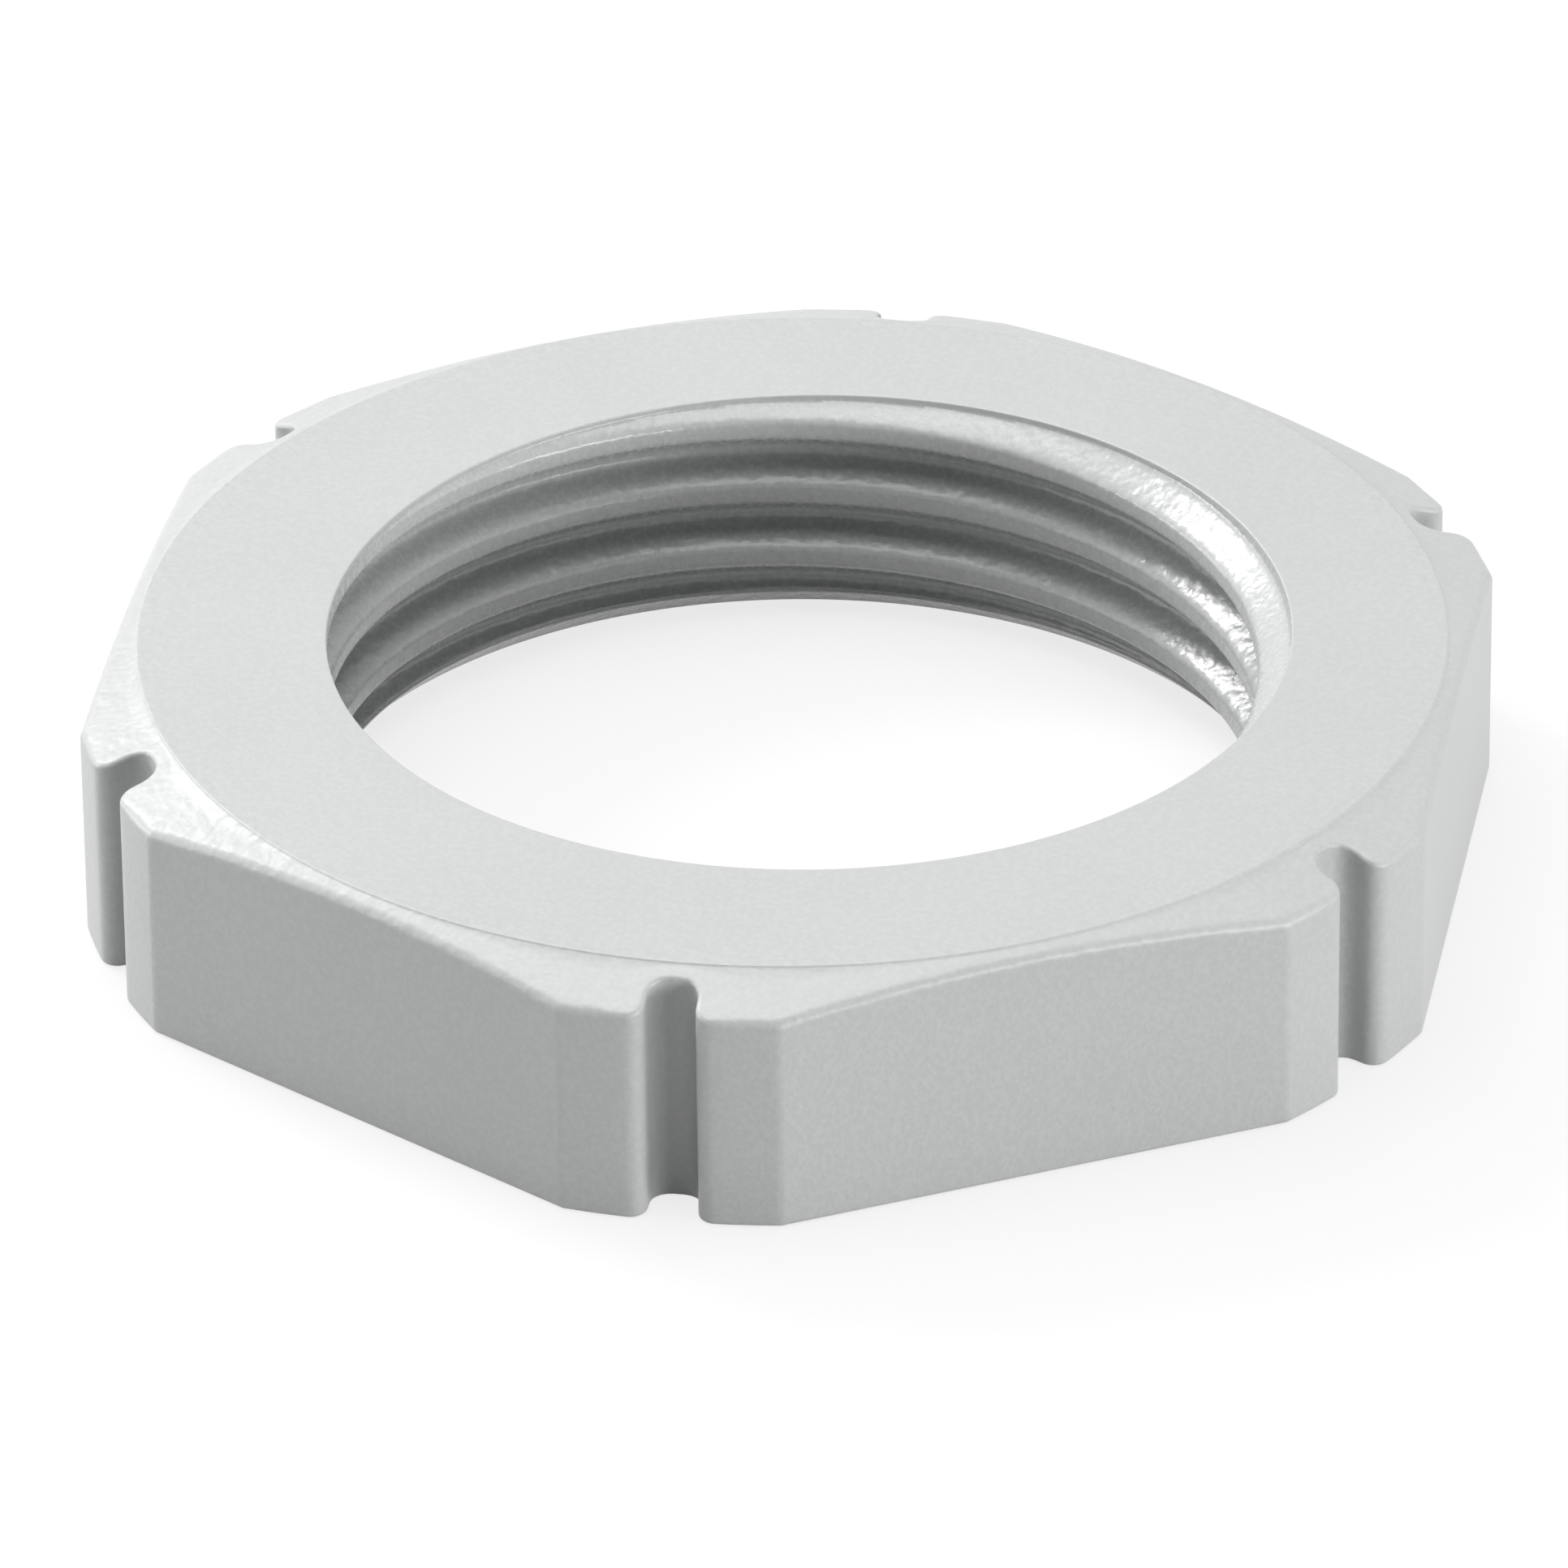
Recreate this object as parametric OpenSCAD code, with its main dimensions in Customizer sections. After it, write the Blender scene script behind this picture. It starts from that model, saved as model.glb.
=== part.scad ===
// Moulded plastic locknut for an M20 x 1.5 cable gland.
// A thin hexagonal ring with a conical shoulder, cut-off corners and a spanner slot in each corner.
// It lies on its bearing face at z = 0, the thread's axis is Z, and one slot faces -Y.
// All sizes are in millimetres.

/* [Body] */
// Width across the flats
flats_w = 27; // [26.6:0.1:28]
// How far the cut-off corners stand out past the flats
corner_reach = 1; // [0.8:0.05:1.2]
// Height of the nut
nut_h = 5.1; // [4:0.1:8]
// Width of the shoulder at the middle of a flat, outside the round top face
shoulder_w = 0.35; // [0.3:0.05:1]
// Height of the small step round the flat top face
face_step = 0.03; // [0.02:0.01:0.1]
// Slope of the shoulder outside the top face, in degrees
shoulder_angle = 19; // [12:1:25]
// Radius of the shoulder's outer edge
shoulder_round = 0.25; // [0.15:0.05:0.3]

/* [Spanner slots] */
// Width of a slot
slot_w = 1; // [0.8:0.1:1.4]
// Depth of a slot, inwards from the cut-off corner
slot_depth = 1; // [0.7:0.05:1.2]
// Radius of the two corners in a slot's root
slot_root_round = 0.25; // [0.1:0.05:0.35]
// Radius of the lips where a slot opens
slot_lip_round = 0.25; // [0.1:0.05:0.4]

/* [Thread] */
// Diameter over the thread's grooves
thread_major_d = 20.1; // [19:0.1:20.5]
// Depth of a groove
thread_depth = 0.7; // [0.6:0.05:0.75]
// Rise of the thread in one turn
thread_pitch = 1.5; // [1.4:0.05:1.6]
// Width of the flat crest between two grooves
crest_w = 0.43; // [0.4:0.01:0.46]
// Direction round the axis at which the first crest's depth is given, in degrees
thread_turn = 99.9; // [0:0.1:359.9]
// Depth of the first crest's middle below the top face, at that direction
crest_drop = 0.595; // [0.4:0.005:0.9]
// Height of the upright wall at the mouth, above the thread
mouth_h = 0.13; // [0.08:0.01:0.2]
// Extra radius of the mouth's wall over the thread's own section
mouth_gap = 0.02; // [0.01:0.01:0.05]
// How far the lead-in cone stands out past the grooves at the bearing face
lead_w = 0.2; // [0.1:0.05:0.7]

/* [Hidden] */
sides = 6;
flank_angle = 30;
lead_angle = 45;
// Angle at which a lip's round meets the cut-off corner, and the turn that its points cover
lip_crease = 25;
lip_turn = 75;
over = 1;
fine = 96;
// Steps of the swept forms: round the thread, along a flat and round an edge
turn_steps = 60;
flat_steps = 16;
round_steps = 5;
// Share of a step by which a swept round runs past the surfaces that it joins
run_on = 0.4;
// The groove's cutter starts this share of a crest inside the bore's wall, where its turns still stand apart
inset_share = 1 / 3;
// Turns that the groove's cutter has beyond those of the nut's height
spare_turns = 3;

flat_r = flats_w / 2;
corner_r = flat_r + corner_reach;
face_r = flat_r - shoulder_w;
side_angle = 360 / sides;
flat_half = sqrt(corner_r * corner_r - flat_r * flat_r);
shoulder_slope = tan(shoulder_angle);
shoulder_top = nut_h - face_step;

major_r = thread_major_d / 2;
minor_r = major_r - thread_depth;
flank_slope = tan(flank_angle);
groove_w = thread_pitch - crest_w;
groove_root_w = groove_w - 2 * thread_depth * flank_slope;
groove_inset = crest_w * inset_share;
groove_inner_w = groove_w + 2 * groove_inset * flank_slope;
groove_low = nut_h - crest_drop + thread_pitch / 2 - thread_pitch * ceil((nut_h + thread_pitch) / thread_pitch);
groove_turns = ceil(nut_h / thread_pitch) + spare_turns;
mouth_z = nut_h - mouth_h;

// Height of the shoulder's surface at radius r
function shoulder_z(r) = shoulder_top - (r - face_r) * shoulder_slope;

// How far a height is from the middle of the nearest groove, at direction a
function from_groove(a, z) =
    let (turns = (z - groove_low) / thread_pitch - (a - thread_turn) / 360)
    abs(turns - round(turns)) * thread_pitch;

// Radius of the threaded wall at direction a and height z
function thread_r(a, z) =
    let (in = (groove_w / 2 - from_groove(a, z)) / flank_slope)
    minor_r + max(0, min(thread_depth, in));

// One section of the groove's cutter, on the turn of direction a, with its middle at height z
function groove_section(a, z) = [
    for (corner = [
        [minor_r - groove_inset, -groove_inner_w / 2],
        [major_r, -groove_root_w / 2],
        [major_r, groove_root_w / 2],
        [minor_r - groove_inset, groove_inner_w / 2]
    ]) [corner[0] * cos(a), corner[0] * sin(a), z + corner[1]]
];

// One section of the shoulder edge's cutter, across the flat at distance x from its middle.
// Its first and last steps run on a little, so that they cross the flat and the shoulder.
function edge_section(x) =
    let (
        r = sqrt(flat_r * flat_r + x * x),
        slope = shoulder_slope * flat_r / r,
        lean = atan(slope),
        mid = [x, flat_r - shoulder_round, shoulder_z(r) + slope * shoulder_round - shoulder_round / cos(lean)],
        arc = [for (i = [0:round_steps])
            let (t = (90 - lean) * i / round_steps)
            mid + shoulder_round * [0, cos(t), sin(t)]],
        out = shoulder_round + over,
        last = round_steps
    )
    concat(
        [
            [x, flat_r + over, mid[2] + out * cos(lean)],
            [x, flat_r + over, mid[2]],
            arc[0] + (arc[0] - arc[1]) * run_on
        ],
        [for (i = [1:last - 1]) arc[i]],
        [
            arc[last] + (arc[last] - arc[last - 1]) * run_on,
            mid + out * [0, sin(lean), cos(lean)]
        ]
    );

// Closed solid through a row of sections that all have the same number of points
module through(sections) {
    n = len(sections[0]);
    last = len(sections) - 1;
    points = [for (s = sections) for (p = s) p];
    walls = [
        for (i = [0:last - 1]) for (j = [0:n - 1])
            let (a = i * n + j, b = i * n + (j + 1) % n)
            for (half = [[a, b, b + n], [a, b + n, a + n]]) half
    ];
    start = [for (j = [n - 1:-1:0]) j];
    end = [for (j = [0:n - 1]) last * n + j];
    polyhedron(points, concat([start], walls, [end]), convexity = 10);
}

// Half section of the turned blank: the face, its step, the shoulder and the corners' rounded edge
module blank_section() {
    rise = atan(shoulder_slope);
    mid_r = corner_r - shoulder_round;
    mid_z = shoulder_z(corner_r) + shoulder_slope * shoulder_round - shoulder_round / cos(rise);
    square([mid_r, shoulder_z(corner_r) - shoulder_round]);
    square([corner_r, mid_z]);
    polygon([
        [0, 0],
        [mid_r, 0],
        [mid_r, mid_z],
        [mid_r + shoulder_round * sin(rise), mid_z + shoulder_round * cos(rise)],
        [face_r, shoulder_top],
        [face_r, nut_h],
        [0, nut_h]
    ]);
    translate([mid_r, mid_z])
        circle(shoulder_round, $fn = fine);
}

module blank() {
    intersection() {
        rotate_extrude($fn = fine)
            blank_section();
        rotate([0, 0, side_angle / 2])
            translate([0, 0, -over])
                cylinder(r = flat_r / cos(side_angle / 2), h = nut_h + 2 * over, $fn = sides);
    }
}

// Rounds the shoulder's curved edge on the flat that faces +Y
module edge_cut() {
    reach = flat_half + shoulder_round;
    through([for (i = [0:flat_steps]) edge_section(reach * (1 - 2 * i / flat_steps))]);
}

// Points of a lip's round, from the slot's wall outwards, on one side of the slot that opens towards +X
function lip_points(side) =
    let (
        mid_y = slot_w / 2 + slot_lip_round,
        mid_x = sqrt(pow(corner_r - slot_lip_round * cos(lip_crease), 2) - mid_y * mid_y),
        reach = corner_r + over
    )
    concat(
        [for (i = [0:round_steps])
            let (t = lip_turn * i / round_steps)
            [mid_x + slot_lip_round * sin(t), side * (mid_y - slot_lip_round * cos(t))]],
        [[reach, side * mid_y * reach / mid_x]]
    );

// Plan of the slot that opens towards +X
module slot_plan() {
    root_x = corner_r - slot_depth;
    inner_w = slot_w - 2 * slot_root_round;
    reach = corner_r + over;
    translate([root_x + slot_root_round, -slot_w / 2])
        square([reach - root_x, slot_w]);
    translate([root_x, -inner_w / 2])
        square([reach - root_x, inner_w]);
    for (side = [-1, 1])
        translate([root_x + slot_root_round, side * inner_w / 2])
            circle(slot_root_round, $fn = fine);
    left = lip_points(1);
    right = lip_points(-1);
    last = len(left) - 1;
    polygon(concat(right, [for (i = [last:-1:0]) left[i]]));
}

module slot() {
    translate([0, 0, -over])
        linear_extrude(nut_h + 2 * over)
            slot_plan();
}

// Helical groove, cut off level with the foot of the mouth's wall
module groove() {
    intersection() {
        through([
            for (i = [0:groove_turns * turn_steps])
                let (turns = i / turn_steps)
                groove_section(thread_turn + 360 * turns, groove_low + thread_pitch * turns)
        ]);
        translate([0, 0, -over])
            cylinder(r = major_r + over, h = mouth_z + over, $fn = fine);
    }
}

// Upright wall in which the thread runs out through the top face
module mouth() {
    translate([0, 0, mouth_z])
        linear_extrude(mouth_h + over)
            polygon([
                for (i = [0:turn_steps - 1])
                    let (a = 360 * i / turn_steps, r = thread_r(a, mouth_z) + mouth_gap)
                    [r * cos(a), r * sin(a)]
            ]);
}

module bore() {
    translate([0, 0, -over])
        cylinder(r = minor_r, h = nut_h + 2 * over, $fn = fine);
}

// Cone that leads the gland's thread in at the bearing face
module lead_in() {
    lead_r = major_r + lead_w;
    deep = (lead_r - minor_r) / tan(lead_angle) + over;
    translate([0, 0, -over])
        cylinder(r1 = lead_r + over, r2 = lead_r - deep, h = deep + over, $fn = fine);
}

module locknut() {
    color("LightGray")
        difference() {
            blank();
            for (i = [0:sides - 1])
                rotate([0, 0, side_angle * i]) {
                    rotate([0, 0, -90])
                        edge_cut();
                    rotate([0, 0, side_angle / 2])
                        slot();
                }
            bore();
            lead_in();
            groove();
            mouth();
        }
}

locknut();
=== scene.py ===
"""Moulded plastic locknut for a cable gland: its finely rounded body, finish, studio and camera."""

import logging
import math
from dataclasses import astuple, dataclass, field, fields, replace
from typing import Sequence

import bmesh
import bpy
from mathutils import Matrix, Vector

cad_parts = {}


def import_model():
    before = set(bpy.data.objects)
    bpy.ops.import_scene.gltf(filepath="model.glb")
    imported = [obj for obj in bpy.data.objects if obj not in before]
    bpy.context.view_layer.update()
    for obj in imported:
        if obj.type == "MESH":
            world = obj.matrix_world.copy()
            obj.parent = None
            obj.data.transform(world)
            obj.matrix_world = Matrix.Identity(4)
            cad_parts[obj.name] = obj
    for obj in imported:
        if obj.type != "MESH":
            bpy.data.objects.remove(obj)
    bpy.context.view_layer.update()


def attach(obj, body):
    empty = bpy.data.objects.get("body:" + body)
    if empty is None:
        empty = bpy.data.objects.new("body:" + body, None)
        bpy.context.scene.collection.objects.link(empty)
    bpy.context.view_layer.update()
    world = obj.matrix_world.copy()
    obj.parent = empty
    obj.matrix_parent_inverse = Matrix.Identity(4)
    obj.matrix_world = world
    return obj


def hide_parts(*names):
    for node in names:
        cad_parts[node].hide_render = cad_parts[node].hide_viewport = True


LOG = logging.getLogger("locknut")
MM = 0.001
# Points closer than this are one point
WELD = 1.5e-6
# Edges shorter than this are taken out after the weld
SLIVER = WELD / 3
WHITE = (1.0, 1.0, 1.0, 1.0)


class Socket:
    """One node socket that plain arithmetic works on, in shader and geometry trees alike."""

    def __init__(self, graph: "Graph", link: bpy.types.NodeSocket | None) -> None:
        """Keeps the graph and the output socket that it wraps."""
        self.graph = graph
        self.link = link

    def _math(self, operation: str, *others: "Socket | float", swap: bool = False) -> "Socket":
        """Adds one Math node.

        Args:
            operation: the Math node's operation.
            others: the other operands.
            swap: put this socket second, as a reflected operator does.

        Returns:
            The node's value.
        """
        operands = [self, *others]
        if swap:
            operands.reverse()
        return self.graph.node("ShaderNodeMath", {"operation": operation}, dict(enumerate(operands)))

    def __add__(self, other: "Socket | float") -> "Socket":
        """Sum."""
        return self._math("ADD", other)

    __radd__ = __add__

    def __sub__(self, other: "Socket | float") -> "Socket":
        """Difference."""
        return self._math("SUBTRACT", other)

    def __rsub__(self, other: float) -> "Socket":
        """Difference with this socket second."""
        return self._math("SUBTRACT", other, swap=True)

    def __mul__(self, other: "Socket | float") -> "Socket":
        """Product."""
        return self._math("MULTIPLY", other)

    __rmul__ = __mul__

    def __truediv__(self, other: "Socket | float") -> "Socket":
        """Quotient."""
        return self._math("DIVIDE", other)

    def __rtruediv__(self, other: float) -> "Socket":
        """Quotient with this socket second."""
        return self._math("DIVIDE", other, swap=True)

    def __pow__(self, other: "Socket | float") -> "Socket":
        """Power."""
        return self._math("POWER", other)

    def __rpow__(self, other: float) -> "Socket":
        """Power with this socket as the exponent."""
        return self._math("POWER", other, swap=True)

    def __abs__(self) -> "Socket":
        """Absolute value."""
        return self._math("ABSOLUTE")

    def rounded(self) -> "Socket":
        """Nearest whole number."""
        return self._math("ROUND")

    def sine(self) -> "Socket":
        """Sine of an angle in radians."""
        return self._math("SINE")

    def cosine(self) -> "Socket":
        """Cosine of an angle in radians."""
        return self._math("COSINE")

    def at_least(self, other: "Socket | float") -> "Socket":
        """The larger of two values."""
        return self._math("MAXIMUM", other)

    def at_most(self, other: "Socket | float") -> "Socket":
        """The smaller of two values."""
        return self._math("MINIMUM", other)

    def soft_floor(self, other: "Socket | float", width: "Socket | float") -> "Socket":
        """The larger of two values, with the corner between them rounded over width."""
        return self._math("SMOOTH_MAX", other, width)

    def soft_cap(self, other: "Socket | float", width: "Socket | float") -> "Socket":
        """The smaller of two values, with the corner between them rounded over width."""
        return self._math("SMOOTH_MIN", other, width)

    def ramp(self, low: float, high: float) -> "Socket":
        """Adds a smooth step.

        Args:
            low: the value up to which the step is 0.
            high: the value from which it is 1.

        Returns:
            The step.
        """
        return self.graph.node(
            "ShaderNodeMapRange", {"interpolation_type": "SMOOTHSTEP"},
            {"Value": self, "From Min": low, "From Max": high},
        )


class Graph:
    """Builds one node tree."""

    def __init__(self, tree: bpy.types.NodeTree) -> None:
        """Keeps the tree, emptied of its nodes."""
        self.tree = tree
        tree.nodes.clear()

    def node(
        self,
        kind: str,
        settings: dict[str, object] | None = None,
        inputs: dict[str | int, object] | None = None,
        output: str | int = 0,
    ) -> Socket:
        """Adds a node.

        Args:
            kind: the node's type name.
            settings: its properties, set before its sockets.
            inputs: values or links for its sockets, by name or index.
            output: the output that is handed back.

        Returns:
            The chosen output, or an empty socket where the node has none.
        """
        made = self.tree.nodes.new(kind)
        for name, value in (settings or {}).items():
            setattr(made, name, value)
        for name, value in (inputs or {}).items():
            if isinstance(value, Socket):
                self.tree.links.new(value.link, made.inputs[name])
            else:
                made.inputs[name].default_value = value
        return Socket(self, made.outputs[output] if len(made.outputs) else None)

    def attribute(self, name: str) -> Socket:
        """A number stored on each point."""
        return self.node("GeometryNodeInputNamedAttribute", {"data_type": "FLOAT"}, {"Name": name}, "Attribute")


class GeometryRule:
    """A Geometry Nodes tree with named inputs, run once on a mesh."""

    def __init__(self, name: str, sizes: dict[str, float]) -> None:
        """Makes the tree's interface.

        Args:
            name: the tree's name.
            sizes: its named inputs and their values.
        """
        self.sizes = sizes
        self.tree = bpy.data.node_groups.new(name, "GeometryNodeTree")
        self.graph = Graph(self.tree)
        face = self.tree.interface
        face.new_socket(name="Geometry", in_out="INPUT", socket_type="NodeSocketGeometry")
        face.new_socket(name="Finish", in_out="INPUT", socket_type="NodeSocketMaterial")
        for label in sizes:
            face.new_socket(name=label, in_out="INPUT", socket_type="NodeSocketFloat")
        face.new_socket(name="Geometry", in_out="OUTPUT", socket_type="NodeSocketGeometry")
        self.entry = self.tree.nodes.new("NodeGroupInput")

    def value(self, label: str) -> Socket:
        """One of the tree's named inputs."""
        return Socket(self.graph, self.entry.outputs[label])

    def close(self, shape: Socket) -> None:
        """Ends the tree: the shape is realized, welded, dressed and handed out.

        Args:
            shape: the geometry that the tree has made.
        """
        graph = self.graph
        real = graph.node("GeometryNodeRealizeInstances", inputs={"Geometry": shape})
        whole = graph.node("GeometryNodeMergeByDistance", inputs={"Geometry": real, "Distance": WELD})
        soft = graph.node("GeometryNodeSetShadeSmooth", inputs={"Geometry": whole})
        dressed = graph.node("GeometryNodeSetMaterial", inputs={
            "Geometry": soft, "Material": self.value("Finish"),
        })
        graph.node("NodeGroupOutput", inputs={"Geometry": dressed})

    def run(self, blank: bpy.types.Mesh, finish: bpy.types.Material) -> bpy.types.Mesh:
        """Runs the tree on a mesh.

        Args:
            blank: the mesh that goes in. It is used up.
            finish: the material that comes out on it.

        Returns:
            The plain mesh that comes out.
        """
        holder = bpy.data.objects.new(self.tree.name, blank)
        bpy.context.scene.collection.objects.link(holder)
        modifier = holder.modifiers.new(self.tree.name, "NODES")
        modifier.node_group = self.tree
        values: dict[str, object] = {"Finish": finish, **self.sizes}
        for item in self.tree.interface.items_tree:
            if item.in_out == "INPUT" and item.name in values:
                modifier[item.identifier] = values[item.name]
        bpy.context.view_layer.update()
        seen = holder.evaluated_get(bpy.context.evaluated_depsgraph_get())
        made = bpy.data.meshes.new_from_object(seen)
        holder.modifiers.remove(modifier)
        bpy.data.objects.remove(holder)
        bpy.data.meshes.remove(blank)
        return made


def grid_mesh(name: str, rows: Sequence[Sequence[Sequence[float]]]) -> bpy.types.Mesh:
    """Joins equal rows of points into one sheet of quads.

    Args:
        name: the mesh's name.
        rows: rows of points, each as long as the first.

    Returns:
        The mesh, with its points row by row.
    """
    width = len(rows[0])
    points = [tuple(p) for row in rows for p in row]
    faces = [
        (i * width + j, (i + 1) * width + j, (i + 1) * width + j + 1, i * width + j + 1)
        for i in range(len(rows) - 1)
        for j in range(width - 1)
    ]
    mesh = bpy.data.meshes.new(name)
    mesh.from_pydata(points, [], faces)
    return mesh


def steps(start: float, end: float, count: int) -> list[float]:
    """Values in count equal steps from start to end, with both ends."""
    return [start + (end - start) * i / count for i in range(count + 1)]


def direction(azimuth: float, elevation: float) -> Vector:
    """Unit vector from the nut towards an azimuth and an elevation in degrees."""
    turn, lift = math.radians(azimuth), math.radians(elevation)
    return Vector((math.cos(turn) * math.cos(lift), math.sin(turn) * math.cos(lift), math.sin(lift)))


@dataclass(frozen=True)
class NutSizes:
    """The nut's driving sizes, in metres and degrees.

    They are those of the part's source, apart from the rounds of a slot's root and lips.
    """

    flat_r: float = 13.5 * MM
    corner_r: float = 14.5 * MM
    height: float = 5.1 * MM
    face_r: float = 13.15 * MM
    face_step: float = 0.03 * MM
    shoulder_angle: float = 19.0
    shoulder_round: float = 0.25 * MM
    slot_w: float = 1.0 * MM
    slot_root_r: float = 13.5 * MM
    slot_root_round: float = 0.4 * MM
    slot_lip_round: float = 0.35 * MM
    major_r: float = 10.05 * MM
    thread_depth: float = 0.7 * MM
    pitch: float = 1.5 * MM
    crest_w: float = 0.43 * MM
    flank_angle: float = 30.0
    thread_turn: float = 99.9
    crest_drop: float = 0.595 * MM
    mouth_h: float = 0.13 * MM
    lead_r: float = 10.25 * MM
    sides: int = 6

    @property
    def slope(self) -> float:
        """Fall of the shoulder for each unit of radius."""
        return math.tan(math.radians(self.shoulder_angle))

    def shoulder_z(self, r: float) -> float:
        """Height of the shoulder's surface at a radius."""
        return self.height - self.face_step - (r - self.face_r) * self.slope


@dataclass(frozen=True)
class EdgePoint:
    """One point of the nut's plan outline, with its outward normal and the radius of the edge over it.

    Its column ends on the top face's ring in the direction ring, in radians.
    """

    x: float
    y: float
    nx: float
    ny: float
    edge: float
    ring: float = 0.0

    def inside(self, depth: float) -> tuple[float, float]:
        """The plan point at a depth inside the outline."""
        return self.x - depth * self.nx, self.y - depth * self.ny

    def mirrored(self) -> "EdgePoint":
        """The same point on the other side of the slot."""
        return EdgePoint(self.x, -self.y, self.nx, -self.ny, self.edge, -self.ring)


@dataclass
class Jacket:
    """The outer skin: shoulder, flats, cut-off corners, spanner slots and the bearing face's outer part.

    The guards are short faces beside an edge, which keep its round from shading the plain surface next to it.
    """

    sizes: NutSizes
    flat_steps: int = 22
    corner_steps: int = 6
    lip_steps: int = 6
    wall_steps: int = 3
    root_steps: int = 5
    edge_steps: int = 6
    foot_steps: int = 3
    slot_edge: float = 0.1 * MM
    lip_edge: float = 0.16 * MM
    foot_round: float = 0.07 * MM
    foot_r: float = 12.0 * MM
    guard: float = 0.035 * MM
    crease_guard: float = 0.1 * MM
    # Half the angle of the top face's ring that a slot takes up, in degrees
    ring_slot: float = 8.0
    # Points of the small step round the top face: distance outwards and share of its drop
    face_step_curve: tuple[tuple[float, float], ...] = ((0.012 * MM, 0.3), (0.022 * MM, 0.8))
    face_step_w: float = 0.04 * MM
    shoulder_shares: tuple[float, ...] = (0.0, 0.33, 0.67, 1.0)
    outline: list[EdgePoint] = field(default_factory=list)

    def __post_init__(self) -> None:
        """Works out the outline of one corner."""
        self.outline = self._corner()

    def _arc(
        self,
        middle: tuple[float, float],
        r: float,
        turns: Sequence[float],
        edges: Sequence[float],
        side: int = 1,
    ) -> list[EdgePoint]:
        """Points of the outline on an arc.

        Args:
            middle: the arc's middle.
            r: its radius.
            turns: directions of the points, seen from the middle.
            edges: radius of the edge over each point.
            side: 1 where the plastic is inside the arc, -1 where it is outside.

        Returns:
            The points, in the order of turns.
        """
        return [
            EdgePoint(
                middle[0] + r * math.cos(turn), middle[1] + r * math.sin(turn),
                side * math.cos(turn), side * math.sin(turn), edge,
            )
            for turn, edge in zip(turns, edges)
        ]

    def _half(self) -> list[EdgePoint]:
        """Walks the outline from the middle of a flat to the middle of the slot that opens towards +X.

        Returns:
            The points, not yet joined to the ring.
        """
        s = self.sizes
        half_flat = math.sqrt(s.corner_r**2 - s.flat_r**2)
        tilt = math.radians(180 / s.sides)
        flat_x, flat_y = math.cos(tilt), -math.sin(tilt)
        flat = [
            EdgePoint(
                s.flat_r * flat_x - run * flat_y, s.flat_r * flat_y + run * flat_x,
                flat_x, flat_y, s.shoulder_round,
            )
            for run in steps(0, half_flat - self.crease_guard, self.flat_steps)
        ]
        break_turn = math.atan2(half_flat, s.flat_r) - tilt
        crease = (-tilt + break_turn) / 2
        bend = 1 / math.cos((break_turn + tilt) / 2)
        crest = EdgePoint(
            s.corner_r * math.cos(break_turn), s.corner_r * math.sin(break_turn),
            math.cos(crease) * bend, math.sin(crease) * bend, s.shoulder_round,
        )
        lip_y = -(s.slot_w / 2 + s.slot_lip_round)
        lip_x = math.sqrt((s.corner_r - s.slot_lip_round) ** 2 - lip_y**2)
        lip_turn = math.atan2(lip_y, lip_x)
        corner_turns = steps(break_turn + self.crease_guard / s.corner_r, lip_turn, self.corner_steps)[:-1]
        # The edge's round keeps its radius over the first half of the corner and thins out over the second
        corner_edges = [
            s.shoulder_round + (self.lip_edge - s.shoulder_round) * max(0.0, 2 * i / self.corner_steps - 1)
            for i in range(self.corner_steps)
        ]
        corner = self._arc((0.0, 0.0), s.corner_r, corner_turns, corner_edges)
        lip = self._arc(
            (lip_x, lip_y), s.slot_lip_round, steps(lip_turn, math.pi / 2, self.lip_steps),
            steps(self.lip_edge, self.slot_edge, self.lip_steps),
        )
        root_x = s.slot_root_r + s.slot_root_round
        root_y = -(s.slot_w / 2 - s.slot_root_round)
        wall = [
            EdgePoint(x, -s.slot_w / 2, 0.0, 1.0, self.slot_edge)
            for x in steps(lip_x, root_x, self.wall_steps)[1:-1]
        ]
        root = self._arc(
            (root_x, root_y), s.slot_root_round, steps(-math.pi / 2, -math.pi, self.root_steps),
            [self.slot_edge] * (self.root_steps + 1), side=-1,
        )
        back = [EdgePoint(s.slot_root_r, y, 1.0, 0.0, self.slot_edge) for y in (root_y / 2, 0.0)]
        return flat + [crest] + corner + lip + wall + root + back

    def _corner(self) -> list[EdgePoint]:
        """Joins each point of one corner's outline to a direction on the ring round the top face.

        Returns:
            The outline from the middle of one flat, round the slot, to the middle of the next flat.
        """
        half = self._half()
        sector = 180 / self.sizes.sides
        lengths = [0.0]
        for a, b in zip(half, half[1:]):
            lengths.append(lengths[-1] + math.hypot(b.x - a.x, b.y - a.y))
        last_outer = self.flat_steps + 1 + self.corner_steps
        lip_polar = math.degrees(math.atan2(half[last_outer].y, half[last_outer].x))
        left: list[EdgePoint] = []
        for i, point in enumerate(half):
            if i <= last_outer:
                polar = math.degrees(math.atan2(point.y, point.x))
                turn = -sector + (polar + sector) * (sector - self.ring_slot) / (sector + lip_polar)
            else:
                share = (lengths[i] - lengths[last_outer]) / (lengths[-1] - lengths[last_outer])
                turn = -self.ring_slot * (1 - share)
            left.append(replace(point, ring=math.radians(turn)))
        return left + [p.mirrored() for p in reversed(left[:-1])]

    def ring_turns(self) -> list[float]:
        """Lists the directions of the ring's points round the whole nut.

        Returns:
            The directions in turns, with the first repeated a turn later.
        """
        sector = 1 / self.sizes.sides
        one = [p.ring / math.tau for p in self.outline[:-1]]
        turns = [t + sector * (k + 0.5) for k in range(self.sizes.sides) for t in one]
        return turns + [turns[0] + 1]

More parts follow.
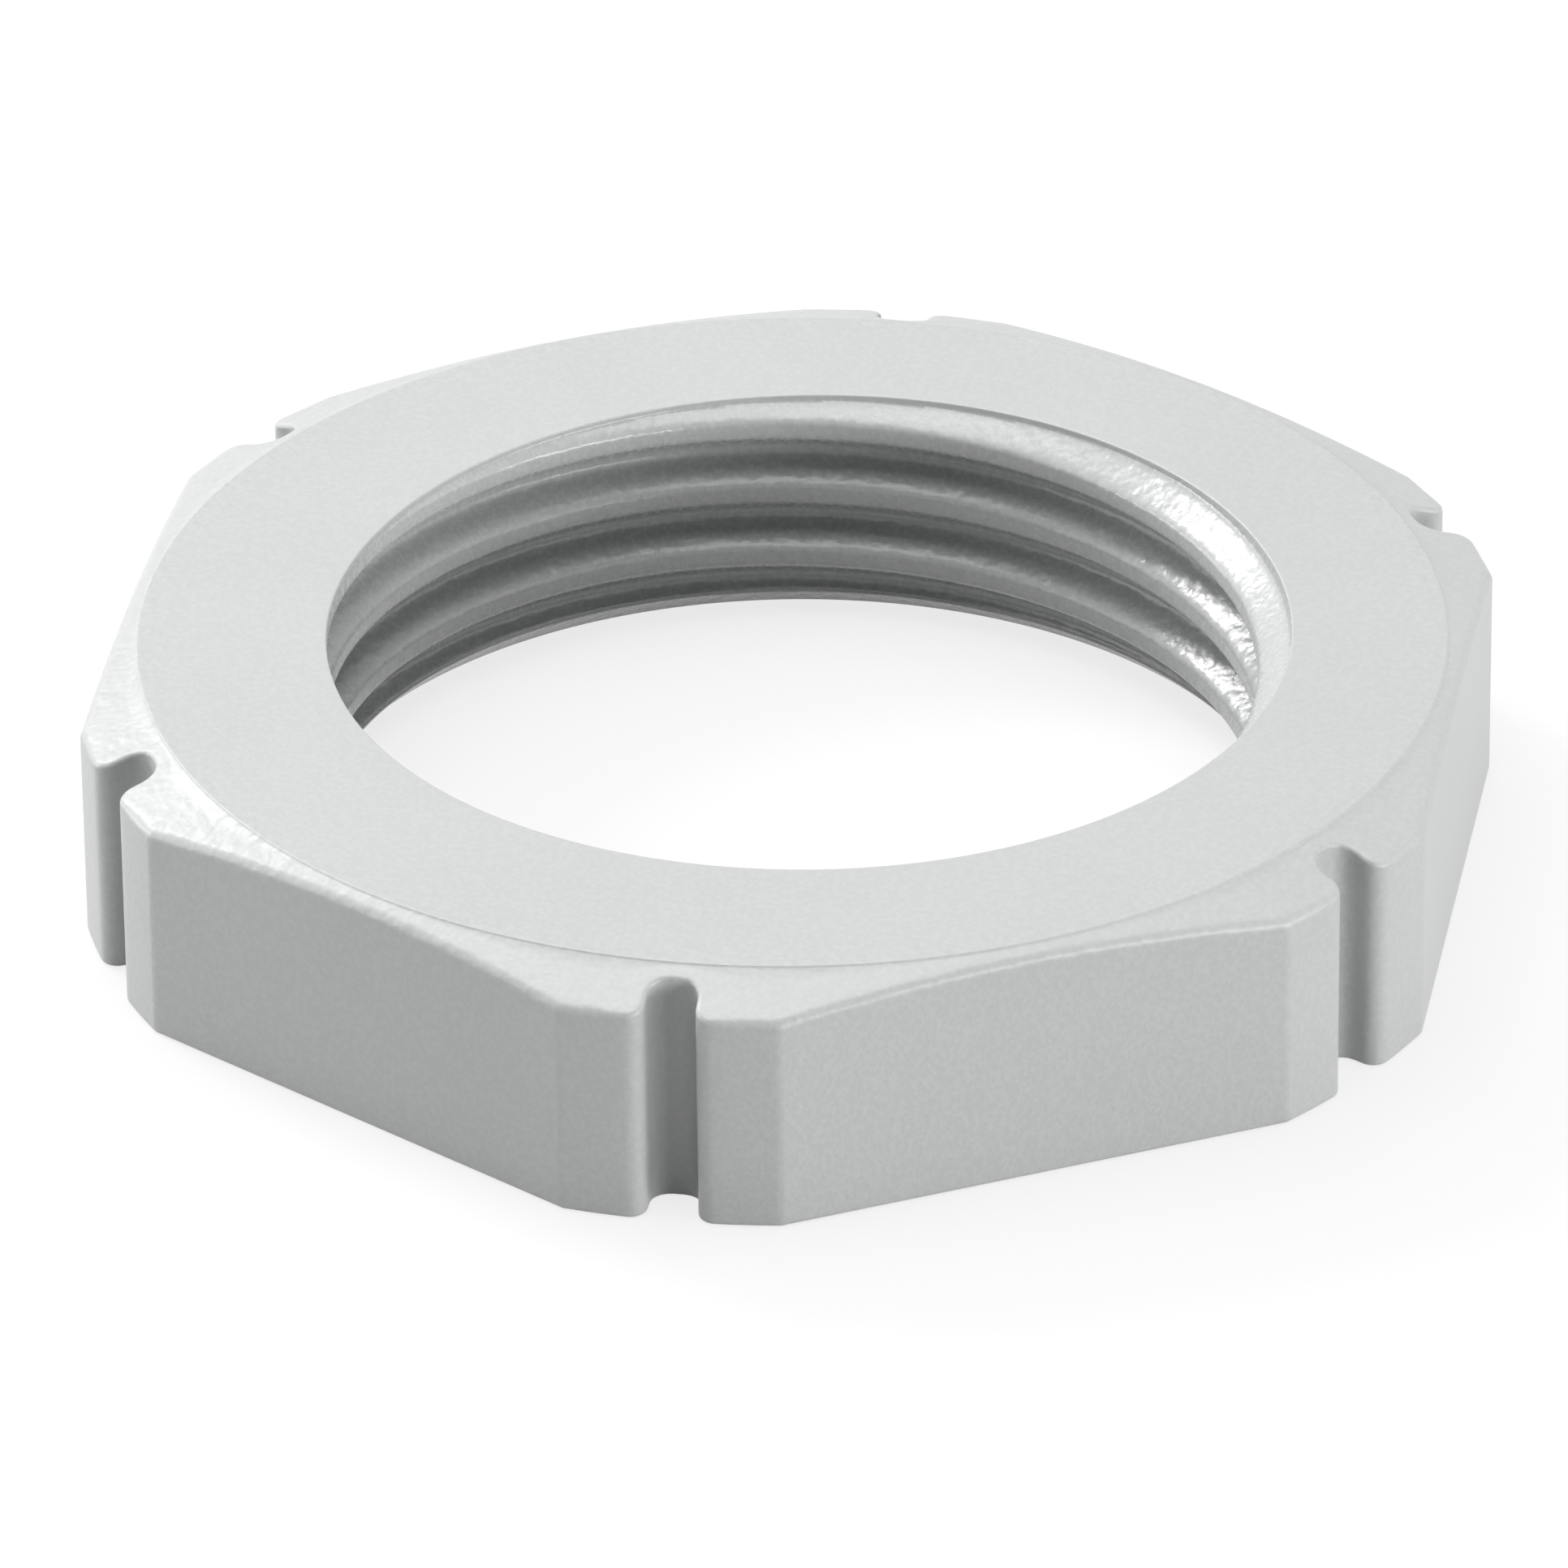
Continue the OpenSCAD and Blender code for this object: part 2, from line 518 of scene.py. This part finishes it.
    def _column(self, p: EdgePoint) -> list[tuple[float, float, float]]:
        """Runs the skin's section through one outline point.

        Args:
            p: the outline point.

        Returns:
            The section's points, from the ring out over the shoulder, down and back in underneath.
        """
        s = self.sizes
        ring_x, ring_y = math.cos(p.ring), math.sin(p.ring)
        column = [(s.face_r * ring_x, s.face_r * ring_y, s.height)]
        for out, drop in self.face_step_curve:
            r = s.face_r + out
            column.append((r * ring_x, r * ring_y, s.height - s.face_step * drop))
        start_r = s.face_r + self.face_step_w
        start_x, start_y = start_r * ring_x, start_r * ring_y
        end_x, end_y = p.inside(p.edge + self.guard)
        for share in self.shoulder_shares:
            x = start_x + (end_x - start_x) * share
            y = start_y + (end_y - start_y) * share
            column.append((x, y, s.shoulder_z(math.hypot(x, y))))
        r = math.hypot(p.x, p.y)
        fall = s.slope * (p.nx * p.x + p.ny * p.y) / (r * math.hypot(p.nx, p.ny))
        lean = math.atan(fall)
        mid_z = s.shoulder_z(r) + fall * p.edge - p.edge / math.cos(lean)
        for turn in steps(math.pi / 2 - lean, 0, self.edge_steps):
            x, y = p.inside(p.edge * (1 - math.cos(turn)))
            column.append((x, y, mid_z + p.edge * math.sin(turn)))
        for z in (mid_z - self.guard, mid_z / 2, self.foot_round + self.guard):
            column.append((p.x, p.y, z))
        for turn in steps(0, math.pi / 2, self.foot_steps):
            x, y = p.inside(self.foot_round * (1 - math.cos(turn)))
            column.append((x, y, self.foot_round * (1 - math.sin(turn))))
        x, y = p.inside(self.foot_round + self.guard)
        column.append((x, y, 0.0))
        column.append((self.foot_r * ring_x, self.foot_r * ring_y, 0.0))
        return column

    def build(self, finish: bpy.types.Material) -> bpy.types.Mesh:
        """Builds one corner and repeats it round the axis with Geometry Nodes.

        Args:
            finish: the material of the skin.

        Returns:
            The whole skin.
        """
        columns = [self._column(p) for p in self.outline]
        blank = grid_mesh("corner", [list(row) for row in zip(*columns)])
        rule = GeometryRule("corners_round_axis", {"Corners": float(self.sizes.sides)})
        graph = rule.graph
        corners = rule.value("Corners")
        points = graph.node("GeometryNodePoints", inputs={"Count": corners})
        index = graph.node("GeometryNodeInputIndex")
        turn = (index + 0.5) * math.tau / corners
        spin = graph.node("ShaderNodeCombineXYZ", inputs={"Z": turn})
        ring = graph.node("GeometryNodeInstanceOnPoints", inputs={
            "Points": points, "Instance": rule.value("Geometry"), "Rotation": spin,
        })
        rule.close(ring)
        return rule.run(blank, finish)


@dataclass(frozen=True)
class SheetRow:
    """What one row of the bore's sheet stands for.

    It follows the helix at rise turns from the mouth's foot, is held between the bearing face and that foot,
    and is then lifted, spread outwards, and drawn by the share reach to a circle of radius target.
    """

    rise: float
    lift: float = 0.0
    spread: float = 0.0
    reach: float = 0.0
    target: float = 0.0

    @staticmethod
    def labels() -> list[str]:
        """Names of a row's values, in their order."""
        return [f.name for f in fields(SheetRow)]


@dataclass
class ThreadWall:
    """The threaded bore with its mouth, lead-in cone, the top face and the bearing face's inner part."""

    sizes: NutSizes
    turns: list[float]
    foot_r: float
    rows_per_turn: int = 30
    # Turns beyond the nut's height, and how far below the bearing face the first row starts
    spare_turns: int = 2
    start_drop: float = 0.2
    rim_steps: int = 4
    crest_soft: float = 0.3 * MM
    root_soft: float = 0.26 * MM
    lead_soft: float = 0.05 * MM
    rim_round: float = 0.03 * MM
    guard: float = 0.03 * MM
    # Shares of the way across the bearing face and across the top face at which rows lie
    foot_reaches: tuple[float, ...] = (1.0, 0.5)
    face_reaches: tuple[float, ...] = (0.35, 0.7)

    def _rows(self) -> list[SheetRow]:
        """Lists the wall's rows from the bearing face up through the bore and out over the top face.

        Returns:
            The rows, in order.
        """
        s = self.sizes
        low = -1.0 - s.height / s.pitch
        top = 1.0
        rows = [SheetRow(low * 2, reach=reach, target=self.foot_r) for reach in self.foot_reaches]
        rows.append(SheetRow(low * 2, spread=self.guard))
        count = round((s.height / s.pitch + self.spare_turns) * self.rows_per_turn)
        rows += [SheetRow(low - self.start_drop + i / self.rows_per_turn) for i in range(count + 1)]
        upright = s.mouth_h - self.rim_round
        rows.append(SheetRow(top, upright / 2))
        for turn in steps(0, math.pi / 2, self.rim_steps):
            rows.append(SheetRow(
                top, upright + self.rim_round * math.sin(turn), self.rim_round * (1 - math.cos(turn)),
            ))
        rows.append(SheetRow(top, s.mouth_h, self.rim_round + self.guard))
        rows += [SheetRow(top, s.mouth_h, reach=reach, target=s.face_r) for reach in self.face_reaches]
        rows += [SheetRow(top, s.mouth_h, reach=1.0, target=s.face_r - inset) for inset in (self.guard, 0.0)]
        return rows

    def _blank(self) -> bpy.types.Mesh:
        """Makes a sheet whose points carry their turn and their row's values.

        Returns:
            The sheet, a row of points for each row of the wall.
        """
        rows = self._rows()
        mesh = grid_mesh("thread_sheet", [[(t, float(i), 0.0) for t in self.turns] for i in range(len(rows))])
        width = len(self.turns)
        for label, column in zip(SheetRow.labels(), zip(*map(astuple, rows))):
            layer = mesh.attributes.new(label, "FLOAT", "POINT")
            layer.data.foreach_set("value", [value for value in column for _ in range(width)])
        layer = mesh.attributes.new("turn", "FLOAT", "POINT")
        layer.data.foreach_set("value", self.turns * len(rows))
        return mesh

    def build(self, finish: bpy.types.Material) -> bpy.types.Mesh:
        """Winds the sheet into the threaded wall with Geometry Nodes.

        Args:
            finish: the material of the wall.

        Returns:
            The wall, from the bearing face up through the thread to the ring round the top face.
        """
        s = self.sizes
        rule = GeometryRule("right_hand_thread", {
            "Pitch": s.pitch, "Groove Radius": s.major_r, "Groove Depth": s.thread_depth,
            "Crest Width": s.crest_w, "Crest Turn": s.thread_turn / 360,
            "Crest Height": s.height - s.crest_drop, "Mouth Foot": s.height - s.mouth_h,
            "Lead Radius": s.lead_r,
        })
        graph = rule.graph
        turn, rise, lift = (graph.attribute(n) for n in ("turn", "rise", "lift"))
        spread, reach, target = (graph.attribute(n) for n in ("spread", "reach", "target"))
        pitch, outer, depth = (rule.value(n) for n in ("Pitch", "Groove Radius", "Groove Depth"))
        foot = rule.value("Mouth Foot")
        around = turn - rule.value("Crest Turn")
        z = (foot + pitch * (rise + turn)).at_least(0.0).at_most(foot)
        phase = (z - rule.value("Crest Height")) / pitch - around
        from_crest = abs(phase - phase.rounded()) * pitch
        inner = outer - depth
        flank_rise = 1 / math.tan(math.radians(s.flank_angle))
        flank = inner + (from_crest - rule.value("Crest Width") / 2) * flank_rise
        wall = flank.soft_cap(outer, self.root_soft).soft_floor(inner, self.crest_soft)
        wall = wall.soft_floor(rule.value("Lead Radius") - z, self.lead_soft)
        r = (wall + spread) * (1 - reach) + target * reach
        angle = turn * math.tau
        place = graph.node("ShaderNodeCombineXYZ", inputs={
            "X": r * angle.cosine(), "Y": r * angle.sine(), "Z": z + lift,
        })
        shape = graph.node("GeometryNodeSetPosition", inputs={
            "Geometry": rule.value("Geometry"), "Position": place,
        })
        rule.close(shape)
        return rule.run(self._blank(), finish)


@dataclass(frozen=True)
class MouldedPolyamide:
    """Light grey moulded plastic.

    The flats and the top face have a fine spark-eroded grain. The shoulder is gently uneven, and so is the
    bore, which is also glossier.
    """

    colour: tuple[float, float, float] = (0.430, 0.438, 0.435)
    shade: tuple[float, float, float] = (0.400, 0.408, 0.406)
    ior: float = 1.53
    rough: float = 0.42
    thread_rough: float = 0.27
    rough_spread: float = 0.12
    grain_size: float = 0.13 * MM
    grain_depth: float = 0.008 * MM
    speck_limits: tuple[float, float] = (0.42, 0.62)
    # Pits to each grain, and how deep they are beside it
    pit_rate: float = 0.8
    pit_share: float = 0.35
    blotch_size: float = 0.3 * MM
    blotch_share: float = 3.2
    # Clouds to the metre
    cloud_rate: float = 180.0
    cloud_limits: tuple[float, float] = (0.3, 0.7)
    cloud_share: float = 0.35
    # Edges of the masks: the bore's radius, the top face's height, and the shoulder's level on the axis
    bore_r: float = 10.4 * MM
    bore_fade: float = 0.3 * MM
    mouth_z: float = 5.08 * MM
    mouth_fade: float = 0.1 * MM
    shoulder_slope: float = math.tan(math.radians(19.0))
    shoulder_level: float = 9.598 * MM
    shoulder_fade: float = 0.25 * MM

    @staticmethod
    def _noise(graph: Graph, place: Socket, rate: float, detail: float) -> Socket:
        """Adds a soft noise.

        Args:
            graph: the material's tree.
            place: the object coordinates.
            rate: its features to the metre.
            detail: how many finer layers it has.

        Returns:
            The noise, about 0 to 1.
        """
        return graph.node("ShaderNodeTexNoise", {"noise_dimensions": "3D"}, {
            "Vector": place, "Scale": rate, "Detail": detail, "Roughness": 0.5,
        })

    def material(self) -> bpy.types.Material:
        """Makes the finish.

        Returns:
            A node material on object coordinates.
        """
        made = bpy.data.materials.new("light_grey_polyamide")
        made.use_nodes = True
        graph = Graph(made.node_tree)
        place = graph.node("ShaderNodeTexCoord", output="Object")
        x, y, z = (graph.node("ShaderNodeSeparateXYZ", inputs={"Vector": place}, output=i) for i in range(3))
        radius = (x * x + y * y) ** 0.5
        outside = radius.ramp(self.bore_r - self.bore_fade, self.bore_r).at_least(
            z.ramp(self.mouth_z - self.mouth_fade, self.mouth_z))
        shoulder = (z + radius * self.shoulder_slope).ramp(
            self.shoulder_level - self.shoulder_fade, self.shoulder_level)
        grain = self._noise(graph, place, 1 / self.grain_size, 2.0)
        blotch = self._noise(graph, place, 1 / self.blotch_size, 1.0)
        cloud = self._noise(graph, place, self.cloud_rate, 2.0)
        pits = graph.node("ShaderNodeTexVoronoi", {"feature": "F1"}, {
            "Vector": place, "Scale": self.pit_rate / self.grain_size, "Randomness": 1.0,
        })
        uneven = (blotch - 0.5) * shoulder.at_least(1 - outside) * self.blotch_share
        bump = graph.node("ShaderNodeBump", inputs={
            "Strength": 1.0, "Distance": self.grain_depth, "Height": grain + pits * self.pit_share + uneven,
        })
        speck = grain.ramp(*self.speck_limits)
        tone = cloud.ramp(*self.cloud_limits) * self.cloud_share + speck * (1 - self.cloud_share)
        colour = graph.node("ShaderNodeMix", {"data_type": "RGBA"}, {
            0: tone, 6: (*self.shade, 1.0), 7: (*self.colour, 1.0),
        }, 2)
        gloss = (self.rough - self.thread_rough) * outside + self.thread_rough
        shader = graph.node("ShaderNodeBsdfPrincipled", inputs={
            "Base Color": colour, "Roughness": gloss + (grain - 0.5) * self.rough_spread, "Normal": bump,
            "IOR": self.ior,
        })
        graph.node("ShaderNodeOutputMaterial", inputs={"Surface": shader})
        return made


@dataclass
class Locknut:
    """The whole nut: the skin and the threaded wall welded into one closed piece."""

    sizes: NutSizes
    finish: MouldedPolyamide

    def build(self) -> bpy.types.Object:
        """Builds the piece, welds it and puts it on its body.

        Returns:
            The finished object.
        """
        material = self.finish.material()
        jacket = Jacket(self.sizes)
        thread = ThreadWall(self.sizes, jacket.ring_turns(), jacket.foot_r)
        shell = bmesh.new()
        for part in (jacket.build(material), thread.build(material)):
            shell.from_mesh(part)
            bpy.data.meshes.remove(part)
        bmesh.ops.remove_doubles(shell, verts=shell.verts, dist=WELD)
        bmesh.ops.dissolve_degenerate(shell, edges=shell.edges, dist=SLIVER)
        loose = sum(not e.is_manifold for e in shell.edges)
        for face in shell.faces:
            face.smooth = True
        volume = shell.calc_volume(signed=True) / MM**3
        mesh = bpy.data.meshes.new("moulded_nut")
        shell.to_mesh(mesh)
        shell.free()
        for label in ("turn", *SheetRow.labels()):
            layer = mesh.attributes.get(label)
            if layer:
                mesh.attributes.remove(layer)
        mesh.materials.clear()
        mesh.materials.append(material)
        nut = bpy.data.objects.new("moulded_nut", mesh)
        bpy.context.scene.collection.objects.link(nut)
        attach(nut, "root")
        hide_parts("locknut")
        LOG.info("shell: %d open edges, %.1f mm3", loose, volume)
        return nut


@dataclass(frozen=True)
class PhotoCamera:
    """The photograph's camera, by where it stands round the top face's middle and where that middle shows."""

    focal_px: float = 17935.0
    image_px: float = 1932.0
    sensor_mm: float = 36.0
    distance: float = 292.27 * MM
    elevation: float = 29.579
    azimuth: float = -80.105
    roll: float = -0.629
    middle_u: float = 975.33
    middle_v: float = 774.71
    near: float = 0.01
    far: float = 10.0

    def build(self, top: Vector) -> bpy.types.Object:
        """Makes the camera.

        Args:
            top: the middle of the nut's top face.

        Returns:
            The camera, set as the scene's own.
        """
        back = direction(self.azimuth, self.elevation)
        look = back.to_track_quat("Z", "Y").to_matrix()
        centre = (self.image_px - 1) / 2
        aim = Vector((
            (self.middle_u - centre) / self.focal_px, (centre - self.middle_v) / self.focal_px, -1.0,
        )).normalized()
        swing = aim.rotation_difference(Vector((0, 0, -1))).to_matrix()
        spin = Matrix.Rotation(math.radians(self.roll), 3, "Z")
        lens = bpy.data.cameras.new("photo_camera")
        lens.sensor_width = self.sensor_mm
        lens.lens = self.sensor_mm * self.focal_px / self.image_px
        lens.clip_start, lens.clip_end = self.near, self.far
        camera = bpy.data.objects.new("photo_camera", lens)
        camera.matrix_world = Matrix.Translation(top + back * self.distance) @ (look @ spin @ swing).to_4x4()
        bpy.context.scene.collection.objects.link(camera)
        bpy.context.scene.camera = camera
        return camera


@dataclass(frozen=True)
class Softbox:
    """One flat studio lamp that faces the nut, placed by its direction in degrees."""

    label: str
    azimuth: float
    elevation: float
    power: float
    width: float = 0.2
    height: float = 0.2
    distance: float = 0.35

    def build(self) -> bpy.types.Object:
        """Makes the lamp at its place round the nut.

        Returns:
            The lamp.
        """
        out = direction(self.azimuth, self.elevation)
        lamp = bpy.data.lights.new(self.label, "AREA")
        lamp.shape = "RECTANGLE"
        lamp.size = self.width
        lamp.size_y = self.height
        lamp.energy = self.power
        body = bpy.data.objects.new(self.label, lamp)
        body.location = out * self.distance
        body.rotation_mode = "QUATERNION"
        body.rotation_quaternion = out.to_track_quat("Z", "Y")
        bpy.context.scene.collection.objects.link(body)
        return body


@dataclass
class Studio:
    """White floor, white surroundings and soft lamps."""

    lamps: tuple[Softbox, ...] = (
        Softbox("top_box", 0.0, 89.9, 0.98, 0.3, 0.3),
        Softbox("left_box", 180.0, 48.0, 0.2, 0.3, 0.3),
        Softbox("left_low_box", 180.0, 24.0, 0.42, 0.45, 0.25),
        Softbox("back_box", 120.0, 52.0, 0.36),
        Softbox("back_spot", 146.0, 38.0, 0.54, 0.07, 0.07),
        Softbox("right_box", 0.0, 24.0, 0.25, 0.45, 0.25),
        Softbox("left_strip", 180.0, 4.0, 0.50, 0.25, 0.05),
        Softbox("right_strip", 0.0, 4.0, 0.12, 0.25, 0.05),
        Softbox("front_right_strip", -30.0, 4.0, 0.94, 0.25, 0.05),
    )
    floor_size: float = 1.2
    # The floor lies this far under the bearing face
    floor_gap: float = 0.02 * MM
    # The floor's tone where it only lights the nut, and its shaded and glowing shares where it is seen
    floor_tone: float = 0.5
    floor_shaded: float = 0.17
    floor_glow: float = 0.78

    def _shown(self, graph: Graph) -> Socket:
        """Tells the rays that see the background from those that only light the nut.

        Args:
            graph: the tree that asks.

        Returns:
            1 for a ray that sees the background, otherwise 0.
        """
        camera, glossy, clear = (
            graph.node("ShaderNodeLightPath", output=name)
            for name in ("Is Camera Ray", "Is Glossy Ray", "Is Transmission Ray")
        )
        return camera.at_least(glossy).at_least(clear)

    def _floor_finish(self) -> bpy.types.Material:
        """Makes the floor's finish: white where it is seen, with the nut's soft shadow kept.

        Returns:
            The node material.
        """
        made = bpy.data.materials.new("white_table")
        made.use_nodes = True
        graph = Graph(made.node_tree)
        plain, shaded = (
            graph.node("ShaderNodeBsdfDiffuse", inputs={"Color": (tone, tone, tone, 1.0)})
            for tone in (self.floor_tone, self.floor_shaded)
        )
        glow = graph.node("ShaderNodeEmission", inputs={"Color": WHITE, "Strength": self.floor_glow})
        seen = graph.node("ShaderNodeAddShader", inputs={0: shaded, 1: glow})
        surface = graph.node("ShaderNodeMixShader", inputs={0: self._shown(graph), 1: plain, 2: seen})
        graph.node("ShaderNodeOutputMaterial", inputs={"Surface": surface})
        return made

    def _world(self) -> None:
        """Makes the surroundings, which are white where they are seen and give no light of their own."""
        world = bpy.data.worlds.new("white_room")
        world.use_nodes = True
        graph = Graph(world.node_tree)
        light = graph.node("ShaderNodeBackground", inputs={"Color": WHITE, "Strength": self._shown(graph)})
        graph.node("ShaderNodeOutputWorld", inputs={"Surface": light})
        bpy.context.scene.world = world

    def build(self) -> bpy.types.Object:
        """Makes the floor, the surroundings and the lamps.

        Returns:
            The floor.
        """
        half = self.floor_size / 2
        corners = [(-half, -half, 0), (half, -half, 0), (half, half, 0), (-half, half, 0)]
        mesh = bpy.data.meshes.new("table")
        mesh.from_pydata(corners, [], [(0, 1, 2, 3)])
        mesh.materials.append(self._floor_finish())
        table = bpy.data.objects.new("table", mesh)
        table.location.z = -self.floor_gap
        bpy.context.scene.collection.objects.link(table)
        self._world()
        for lamp in self.lamps:
            lamp.build()
        bpy.context.scene.view_settings.view_transform = "Standard"
        return table


def main() -> None:
    """Builds the nut, its studio and the camera."""
    logging.basicConfig(level=logging.INFO, format="%(name)s: %(message)s")
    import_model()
    sizes = NutSizes()
    nut = Locknut(sizes, MouldedPolyamide()).build()
    LOG.info("%s: %d faces", nut.name, len(nut.data.polygons))
    studio = Studio()
    table = studio.build()
    LOG.info("%s, with %d lamps", table.name, len(studio.lamps))
    camera = PhotoCamera().build(Vector((0, 0, sizes.height)))
    LOG.info("%s: lens %.1f mm", camera.name, camera.data.lens)


if __name__ == "__main__":
    main()
